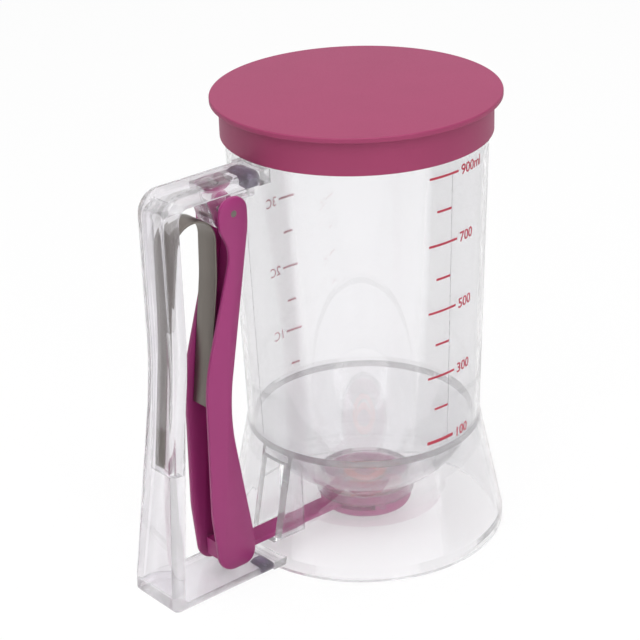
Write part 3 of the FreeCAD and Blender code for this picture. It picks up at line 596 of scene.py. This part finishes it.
class DISPENSER_OT_handle(bpy.types.Operator):
    """Build the clear C-shaped handle with its spring channel and hinge lug"""

    bl_idname = "dispenser.handle"
    bl_label = "Handle"

    def execute(self, context):
        pairs = list(zip(rounded(GRIP_OUTER, closed=False), rounded(GRIP_INNER, closed=False)))
        stations = [(outer, inner, grip_half((outer.y + inner.y) / 2))
                    for outer, inner in spaced(pairs, GRIP_SPACING)]
        soft = sizes().grip_round / MM
        section = soft_bar(soft, soft * INNER_SHARE, GRIP_EDGE_STEPS)
        grip = loose("grip_shell", sweep("grip_shell", stations, section))
        lug = plates("lug", [(rounded(LUG), -LUG_HALF, LUG_HALF)])
        bevel(lug, LUG_EDGE * MM)
        combine(grip, lug, "UNION")
        channel = plates("channel", [(rounded(CHANNEL), -CHANNEL_HALF, CHANNEL_HALF)])
        bevel(channel, CHANNEL_EDGE * MM)
        combine(grip, channel, "DIFFERENCE")
        drill(grip)
        piece = finish_mesh("grip_shell", mesh_of(grip), "root", "handle")
        dress(piece, grip_plastic())
        # Painted shade: dark tinted blocks in the arms' roots stand in for the dark look that
        # refraction gives the clear plastic there
        painted_shade_blocks = plates("arm_root_painted_shade", ARM_ROOT_PAINTED_SHADE)
        bevel(painted_shade_blocks, PAINTED_SHADE_EDGE * MM)
        piece = finish_mesh("arm_root_painted_shade", mesh_of(painted_shade_blocks), "root")
        painted_shade_finish = kept_material("clear_styrene_deep", moulded_styrene,
                             tint=tuple(looks().root_painted_shade_tint), haze=0.05, veil=0.1)
        dress(piece, painted_shade_finish)
        return {"FINISHED"}


# The lid's reach and plate, its skirt from inside to outside, and the rounding of its edges
LID_REACH, LID_PLATE, LID_TURNS = 57.0, 2.1, 256
SKIRT_INSIDE, SKIRT_OUTSIDE, SKIRT_ROOT, LID_EDGE = 52.32, 53.52, 0.4, 0.3


class DISPENSER_OT_lid(bpy.types.Operator):
    """Build the push-on lid with its rounded rim"""

    bl_idname = "dispenser.lid"
    bl_label = "Lid"

    def execute(self, context):
        top, foot = LID_HIGH.z / MM, LID_LOW.z / MM
        under = top - LID_PLATE
        profile = rounded([
            (0, under, 0), (SKIRT_INSIDE, under, 0), (SKIRT_INSIDE, foot, LID_EDGE),
            (SKIRT_OUTSIDE, foot, LID_EDGE), (SKIRT_OUTSIDE, under, SKIRT_ROOT),
            (LID_REACH, under, LID_EDGE), (LID_REACH, top, sizes().lid_round / MM), (0, top, 0)])
        piece = finish_mesh("lid_shell", lathe("lid_shell", profile, LID_TURNS), "cover", "lid")
        finish = kept_material("polypropylene_satin_lid", moulded_plastic,
                               base=tuple(looks().lid_colour), roughness=0.5, sheen=0.32,
                               grain_mm=0.4, relief=0.3)
        dress(piece, finish)
        return {"FINISHED"}


# Side view of the trigger, clockwise from the front of its ears, and of its back plate
TRIGGER = [(-74.9, 163.6, 6.4), (-61.7, 163.6, 6.4), (-61.7, 151.0, 30.0), (-75.2, 76.0, 90.0),
           (-66.2, 18.0, 5.0), (-66.2, 6.9, 5.4), (-83.6, 6.9, 8.0), (-86.2, 34.0, 60.0),
           (-85.4, 92.0, 70.0), (-70.3, 142.0, 14.0), (-74.9, 151.0, 5.0)]
TRIGGER_BACK = [(-61.9, 147.5, 0), (-75.2, 76.0, 90.0), (-66.2, 18.0, 1.0), (-66.2, 15.4, 0)]
# Its half width, its wall, and how far a part between the walls runs into them
TRIGGER_HALF, TRIGGER_WALL, WALL_OVERLAP = 7.6, 1.8, 0.6
# Height and reach of each stiffening rib, how far back it starts and ends, and its thickness
STIFFENERS = ((108.0, -69.5), (72.0, -74.6), (33.0, -68.6))
RIB_BACK, RIB_FRONT, RIB_THICK = 4.6, 0.9, 1.2
CROSS_BAR, CROSS_BAR_RADIUS = (-77.5, 12.5), 2.0


class DISPENSER_OT_trigger(bpy.types.Operator):
    """Build the trigger, a channel between two side walls, and finish its pin"""

    bl_idname = "dispenser.trigger"
    bl_label = "Trigger"

    def execute(self, context):
        side = rounded(TRIGGER)
        inside = TRIGGER_HALF - TRIGGER_WALL
        join = inside + WALL_OVERLAP
        back = rounded(TRIGGER_BACK, closed=False)
        front = [point - Vector((TRIGGER_WALL, 0)) for point in reversed(back)]
        parts = [(side, -TRIGGER_HALF, -inside), (side, inside, TRIGGER_HALF),
                 (back + front, -join, join)]
        for height, reach in STIFFENERS:
            near, far, top = reach - RIB_BACK, reach - RIB_FRONT, height + RIB_THICK
            parts.append(([(near, height), (far, height), (far, top), (near, top)], -join, join))
        parts.append((ring_outline(CROSS_BAR, CROSS_BAR_RADIUS), -join, join))
        shell = plates("trigger_shell", parts)
        bevel(shell, sizes().trigger_round)
        drill(shell)
        piece = finish_mesh("trigger_shell", mesh_of(shell), "squeeze_trigger", "trigger")
        dress(piece, trigger_plastic())
        dress_node("trigger_pin", strip_steel())
        return {"FINISHED"}


# Side view of the strip, from the end of its outer leg over the bend to the trigger
STRIP_PATH = [(-102.58, 61.0, 0), (-98.1, 104.0, 180.0), (-96.6, 124.0, 60.0),
              (-94.1, 157.4, 9.4), (-75.3, 157.4, 9.2), (-76.2, 132.0, 60.0), (-82.7, 80.0, 0)]
STRIP_HALF_THICK, STRIP_EDGE, STRIP_EDGE_STEPS = 0.4, 0.2, 2
# Its half width, and that of the outer leg's end, which tapers below a shoulder. The middle
# lies between its legs
STRIP_HALF, STRIP_NARROW, STRIP_SHOULDER, STRIP_TAPER, STRIP_MIDDLE = 5.2, 2.8, 148.0, 30.0, -88.0


def strip_half(point):
    """Half width of the strip at a point of its path."""
    if point.x >= STRIP_MIDDLE:
        return STRIP_HALF
    down = min(1.0, max(0.0, (STRIP_SHOULDER - point.y) / STRIP_TAPER))
    return STRIP_HALF - (STRIP_HALF - STRIP_NARROW) * down


class DISPENSER_OT_spring(bpy.types.Operator):
    """Build the leaf spring, which bends between the handle and the trigger"""

    bl_idname = "dispenser.spring"
    bl_label = "Leaf spring"

    def execute(self, context):
        path = rounded(STRIP_PATH, closed=False)
        stations = []
        for index, point in enumerate(path):
            before, after = path[max(index - 1, 0)], path[min(index + 1, len(path) - 1)]
            along = (after - before).normalized()
            side = Vector((along.y, -along.x)) * STRIP_HALF_THICK
            stations.append((point - side, point + side, strip_half(point)))
        section = soft_bar(STRIP_EDGE, STRIP_EDGE, STRIP_EDGE_STEPS)
        piece = finish_mesh("leaf_strip", sweep("leaf_strip", stations, section), None, "leaf_spring")
        dress(piece, strip_steel())
        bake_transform(piece)
        return {"FINISHED"}


# Half section of the ring that stands on the cap and backs the seal
BACKING_RING = [(11.45, 16.4, 0.2), (17.4, 16.4, 0), (17.4, 13.52, 0), (18.5, 13.52, 0),
                (18.5, 17.2, 0.4), (11.45, 17.2, 0.2)]
RING_TURNS = 96


class DISPENSER_OT_valve(bpy.types.Operator):
    """Finish the slide, the valve cap and the outlet seal, and build the ring that backs the seal"""

    bl_idname = "dispenser.valve"
    bl_label = "Valve"

    def execute(self, context):
        dress_node("valve_slide", trigger_plastic())
        dress_node("valve_cap", trigger_plastic())
        mesh = lathe("seal_backing_ring", rounded(BACKING_RING), RING_TURNS)
        piece = finish_mesh("seal_backing_ring", mesh, "root")
        dress(piece, trigger_plastic())
        seal = kept_material("silicone_pressed_seal", silicone_rubber,
                             base=tuple(looks().seal_colour))
        dress_node("outlet_seal", seal)
        return {"FINISHED"}


# Turns of the witness lines in degrees, and the heights between which they run
SEAM_TURNS, SEAM_LOW, SEAM_HIGH = (-88.0, 171.0), 51.0, 166.0
# Their section: how far across in half widths, and how far out of the wall
SEAM_SECTION = ((-1, -0.02), (-0.6, 0.07), (0.6, 0.07), (1, -0.02))
SEAM_TINT = "#B9B4BA"


class DISPENSER_OT_seams(bpy.types.Operator):
    """Build the thin witness lines that the mould's halves leave on the jar"""

    bl_idname = "dispenser.seams"
    bl_label = "Mould seams"

    def execute(self, context):
        work = bmesh.new()
        half = math.degrees(sizes().seam_width / 2 / sizes().ring_radius)
        for turn in SEAM_TURNS:
            cover(work, [[work.verts.new(on_wall(turn + side * half, height, lift))
                          for side, lift in SEAM_SECTION] for height in (SEAM_LOW, SEAM_HIGH)])
        piece = finish_mesh("mould_seams", mesh_from("mould_seams", work), "root")
        finish = kept_material("clear_styrene_seam", moulded_styrene,
                               tint=linear(SEAM_TINT), haze=0.5, veil=0.3)
        dress(piece, finish)
        return {"FINISHED"}


# How far the ink's film stands off the wall, and its thickness
INK_LIFT, INK_DEPTH = 0.03, 0.05
# The shortest step of a printed line round the wall, in degrees
LINE_STEP = 1.5
# Size of the lettering over the height of its numerals, and the steps of its curves
LETTER_SIZE, LETTER_STEPS = 1.38, 6
# Numerals and height of each mark, and a plain short line where there are none
MILLILITRES = [("900ml", 165.9), ("", 152.0), ("700", 138.3), ("", 124.0), ("500", 110.2),
               ("", 96.1), ("300", 82.1), ("", 67.9), ("100", 53.2)]
CUPS = [("3C", 128.8), ("2C", 97.8), ("1C", 68.6)]
# Turns in degrees of the long and short lines of both scales, and where their numerals start
LONG_LINE, SHORT_LINE, NUMERALS = (-100.3, -84.3), (-96.3, -88.3), -82.6
CUP_LINE, HALF_CUP_LINE, CUP_NUMERALS = (82.3, 92.0), (84.5, 90.0), 93.5
# How far below a cup's line its half line is, and the heaviest line
HALF_CUP_DROP, HEAVY_MARK, HEAVY = 15.4, "100", 1.5


def printed_line(work, ends, height, heavy=1.0):
    """A printed line on the wall, from one turn to another."""
    start, end = ends
    half = sizes().tick_width * heavy / MM / 2
    film = INK_LIFT + INK_DEPTH
    section = ((-half, INK_LIFT), (half, INK_LIFT), (half, film), (-half, film))
    steps = max(2, int((end - start) / LINE_STEP))
    turns = [start + (end - start) * step / steps for step in range(steps + 1)]
    cover(work, [[work.verts.new(on_wall(turn, height + rise, lift)) for rise, lift in section]
                 for turn in turns])


def printed_word(work, word, start, height):
    """Numerals on the wall, starting at an angle and centred on a height."""
    curve = bpy.data.curves.new("numerals", "FONT")
    curve.body = word
    curve.size = sizes().print_height * LETTER_SIZE
    curve.extrude = INK_DEPTH * MM / 2
    curve.offset = sizes().print_weight
    curve.resolution_u = LETTER_STEPS
    holder = loose("numerals", curve)
    bpy.context.view_layer.update()
    shown = holder.evaluated_get(bpy.context.evaluated_depsgraph_get())
    mesh = bpy.data.meshes.new_from_object(shown)
    bpy.data.objects.remove(holder)
    middle = sizes().print_height / 2
    for vertex in mesh.vertices:
        across, up, out = vertex.co
        at = height + (up - middle) / MM
        turn = start + math.degrees(across / (wall_reach(at) * MM))
        vertex.co = on_wall(turn, at, INK_LIFT + INK_DEPTH / 2 + out / MM)
    work.from_mesh(mesh)
    bpy.data.meshes.remove(mesh)


class DISPENSER_OT_scale(bpy.types.Operator):
    """Print the millilitre scale and the cup scale on the jar"""

    bl_idname = "dispenser.scale"
    bl_label = "Printed scales"

    def execute(self, context):
        work = bmesh.new()
        for word, height in MILLILITRES:
            if word:
                printed_line(work, LONG_LINE, height, heavy=HEAVY if word == HEAVY_MARK else 1.0)
                printed_word(work, word, NUMERALS, height)
            else:
                printed_line(work, SHORT_LINE, height)
        for word, height in CUPS:
            printed_line(work, CUP_LINE, height)
            printed_word(work, word, CUP_NUMERALS, height)
            printed_line(work, HALF_CUP_LINE, height - HALF_CUP_DROP)
        bmesh.ops.remove_doubles(work, verts=work.verts, dist=NOTHING)
        piece = finish_mesh("printed_scale", mesh_from("printed_scale", work), "root")
        ink = kept_material("screen_ink_crimson", screen_ink, base=tuple(looks().print_colour))
        dress(piece, ink)
        return {"FINISHED"}


# The camera's place in millimetres from the jar's axis, its angles in degrees, and its lens
CAMERA_PLACE = (-483.9, -550.8, 428.1)
CAMERA_HEADING, CAMERA_PITCH, CAMERA_ROLL, CAMERA_LENS = 39.98, 24.788, 1.977, 111.48
# Name, place, width, height and power of each lamp. The two panes are tall and stand beside
# the eye, so that they show as streaks in the bowl
LAMPS = (("key_softbox", (-0.75, -0.35, 1.25), 0.9, 0.9, 3.0),
         ("top_softbox", (0.05, 0.0, 1.5), 1.0, 1.0, 9.5),
         ("right_pane", (-0.16, -0.88, 0.74), 0.28, 0.95, 3.4),
         ("left_pane", (-0.813, -0.322, 0.74), 0.11, 0.95, 1.4))
WHITE, CARD_TONE, CEILING_TONE = "#FFFFFF", "#F4F4F4", "#959399"
FLOOR_REACH, FLOOR_PANES = 6.0, 8
# Height of the view's direction and brightness there, for what plastic and gloss show
ROOM_BANDS = ((0.1, 0.75), (0.25, 0.5), (0.36, 1.0), (0.55, 1.0), (0.7, 0.55))
# Strength of the even light at the horizon and overhead
HORIZON_LIGHT, OVERHEAD_LIGHT = 0.5, 1.15


class DISPENSER_OT_stage(bpy.types.Operator):
    """Set up the floor, the soft light and the camera"""

    bl_idname = "dispenser.stage"
    bl_label = "Stage"

    def execute(self, context):
        scene = context.scene
        scene.view_settings.view_transform = "Standard"
        self.floor()
        self.room(scene)
        for name, place, width, height, power in LAMPS:
            self.lamp(name, place, width, height, power)
        self.camera(scene)
        return {"FINISHED"}

    def floor(self):
        """A wide pale floor that looks white and keeps the object's shadow."""
        work = bmesh.new()
        bmesh.ops.create_grid(work, x_segments=FLOOR_PANES, y_segments=FLOOR_PANES, size=FLOOR_REACH)
        floor = loose("floor", mesh_from("floor", work))
        finish, tree, shader, output = new_material("studio_card_matt", {"Roughness": 0.9})
        drift_colour(tree, shader, grain_of(tree, 30.0, detail=4.0), linear(CARD_TONE), 0.01)
        glow = add_node(tree, "ShaderNodeEmission", values={"Strength": 1.0})
        path = add_node(tree, "ShaderNodeLightPath")
        lifts = []
        for ray, white_share in (("Is Camera Ray", looks().floor_glow),
                                 ("Is Transmission Ray", looks().floor_through),
                                 ("Is Glossy Ray", looks().floor_sheen)):
            part = add_node(tree, "ShaderNodeMath", settings={"operation": "MULTIPLY"},
                            values={1: white_share}, links={0: path.outputs[ray]})
            lifts.append(part.outputs["Value"])
        lift = lifts[0]
        for other in lifts[1:]:
            most = add_node(tree, "ShaderNodeMath", settings={"operation": "MAXIMUM"},
                            links={0: lift, 1: other})
            lift = most.outputs["Value"]
        mix = add_node(tree, "ShaderNodeMixShader",
                       links={"Fac": lift, 1: shader.outputs["BSDF"], 2: glow.outputs["Emission"]})
        tree.links.new(mix.outputs["Shader"], output.inputs["Surface"])
        floor.data.materials.append(finish)

    def room(self, scene):
        """White to the eye, so that the floor has no edge against it.

        The object gets an even light, dimmer near the horizon. Clear plastic and gloss show a
        greyer ceiling and dark bands instead, which draw their edges."""
        world = bpy.data.worlds.new("studio")
        scene.world = world
        world.use_nodes = True
        tree = world.node_tree
        tree.nodes.clear()
        path = add_node(tree, "ShaderNodeLightPath")
        where = add_node(tree, "ShaderNodeTexCoord")
        split = add_node(tree, "ShaderNodeSeparateXYZ", links={"Vector": where.outputs["Generated"]})
        ramp = add_node(tree, "ShaderNodeValToRGB", links={"Fac": split.outputs["Z"]})
        stops = ramp.color_ramp.elements
        stops[0].position, stops[0].color = 0.0, (*linear(WHITE), 1)
        stops[1].position, stops[1].color = 1.0, (*linear(CEILING_TONE), 1)
        for place, tone in ROOM_BANDS:
            stop = stops.new(place)
            stop.color = (tone, tone, tone, 1)
        bent = add_node(tree, "ShaderNodeBackground", values={"Strength": 1.0},
                        links={"Color": ramp.outputs["Color"]})
        rise = add_node(tree, "ShaderNodeMapRange",
                        values={"From Min": 0.0, "From Max": 1.0,
                                "To Min": HORIZON_LIGHT, "To Max": OVERHEAD_LIGHT},
                        links={"Value": split.outputs["Z"]})
        level = add_node(tree, "ShaderNodeMath", settings={"operation": "MULTIPLY"},
                         values={1: looks().world_light}, links={0: rise.outputs["Result"]})
        even = add_node(tree, "ShaderNodeBackground", values={"Color": (*linear(WHITE), 1)},
                        links={"Strength": level.outputs["Value"]})
        white = add_node(tree, "ShaderNodeBackground",
                         values={"Color": (*linear(WHITE), 1), "Strength": 1.0})
        seen = add_node(tree, "ShaderNodeMath", settings={"operation": "MAXIMUM"},
                        links={0: path.outputs["Is Glossy Ray"],
                               1: path.outputs["Is Transmission Ray"]})
        lit = add_node(tree, "ShaderNodeMixShader",
                       links={"Fac": seen.outputs["Value"], 1: even.outputs["Background"],
                              2: bent.outputs["Background"]})
        shown = add_node(tree, "ShaderNodeMixShader",
                         links={"Fac": path.outputs["Is Camera Ray"], 1: lit.outputs["Shader"],
                                2: white.outputs["Background"]})
        add_node(tree, "ShaderNodeOutputWorld", links={"Surface": shown.outputs["Shader"]})

    def lamp(self, name, place, width, height, power):
        """A soft rectangular lamp aimed at the object."""
        data = bpy.data.lights.new(name, "AREA")
        data.shape = "RECTANGLE"
        data.size = width
        data.size_y = height
        data.energy = power
        lamp = loose(name, data)
        lamp.location = place
        aim = Vector((JAR_X, 0, JAR_RIM / 2)) - Vector(place)
        lamp.rotation_euler = aim.to_track_quat("-Z", "Y").to_euler()

    def camera(self, scene):
        """The photograph's view: a long lens, a little above and to the left of the handle."""
        data = bpy.data.cameras.new("camera")
        data.lens = CAMERA_LENS
        data.sensor_width = 36.0
        camera = loose("camera", data)
        heading, pitch, roll = (math.radians(turn) for turn in
                                (CAMERA_HEADING, CAMERA_PITCH, CAMERA_ROLL))
        ahead = Vector((math.sin(heading) * math.cos(pitch), math.cos(heading) * math.cos(pitch),
                        -math.sin(pitch)))
        level = Vector((math.cos(heading), -math.sin(heading), 0))
        down = ahead.cross(level)
        right = level * math.cos(roll) + down * math.sin(roll)
        up = level * math.sin(roll) - down * math.cos(roll)
        turned = Matrix((right, up, -ahead)).transposed().to_4x4()
        place = Vector(CAMERA_PLACE) * MM + Vector((JAR_X, 0, 0))
        camera.matrix_world = Matrix.Translation(place) @ turned
        scene.camera = camera


class DISPENSER_PT_panel(bpy.types.Panel):
    """Everything the dispenser is built from"""

    bl_label = "Batter Dispenser"
    bl_space_type = "VIEW_3D"
    bl_region_type = "UI"
    bl_category = "Dispenser"

    def draw(self, context):
        layout = self.layout
        for group in (context.scene.dispenser_sizes, context.scene.dispenser_looks):
            for name in group.__annotations__:
                layout.prop(group, name)
        for step in STEPS:
            layout.operator(step.bl_idname)


STEPS = (DISPENSER_OT_stage, DISPENSER_OT_jar, DISPENSER_OT_handle, DISPENSER_OT_lid,
         DISPENSER_OT_trigger, DISPENSER_OT_spring, DISPENSER_OT_valve, DISPENSER_OT_seams,
         DISPENSER_OT_scale)
CLASSES = (DispenserSizes, DispenserLooks, *STEPS, DISPENSER_PT_panel)


def register():
    """Add the classes and the settings that they use."""
    for cls in CLASSES:
        bpy.utils.register_class(cls)
    bpy.types.Scene.dispenser_sizes = bpy.props.PointerProperty(type=DispenserSizes)
    bpy.types.Scene.dispenser_looks = bpy.props.PointerProperty(type=DispenserLooks)


def unregister():
    """Take the classes and settings away."""
    del bpy.types.Scene.dispenser_looks
    del bpy.types.Scene.dispenser_sizes
    for cls in reversed(CLASSES):
        bpy.utils.unregister_class(cls)


def main():
    """Build the stage and every piece."""
    register()
    bpy.ops.dispenser.stage()
    bpy.ops.dispenser.jar()
    bpy.ops.dispenser.handle()
    bpy.ops.dispenser.lid()
    bpy.ops.dispenser.trigger()
    bpy.ops.dispenser.spring()
    bpy.ops.dispenser.valve()
    bpy.ops.dispenser.seams()
    bpy.ops.dispenser.scale()


if __name__ == "__main__":
    main()
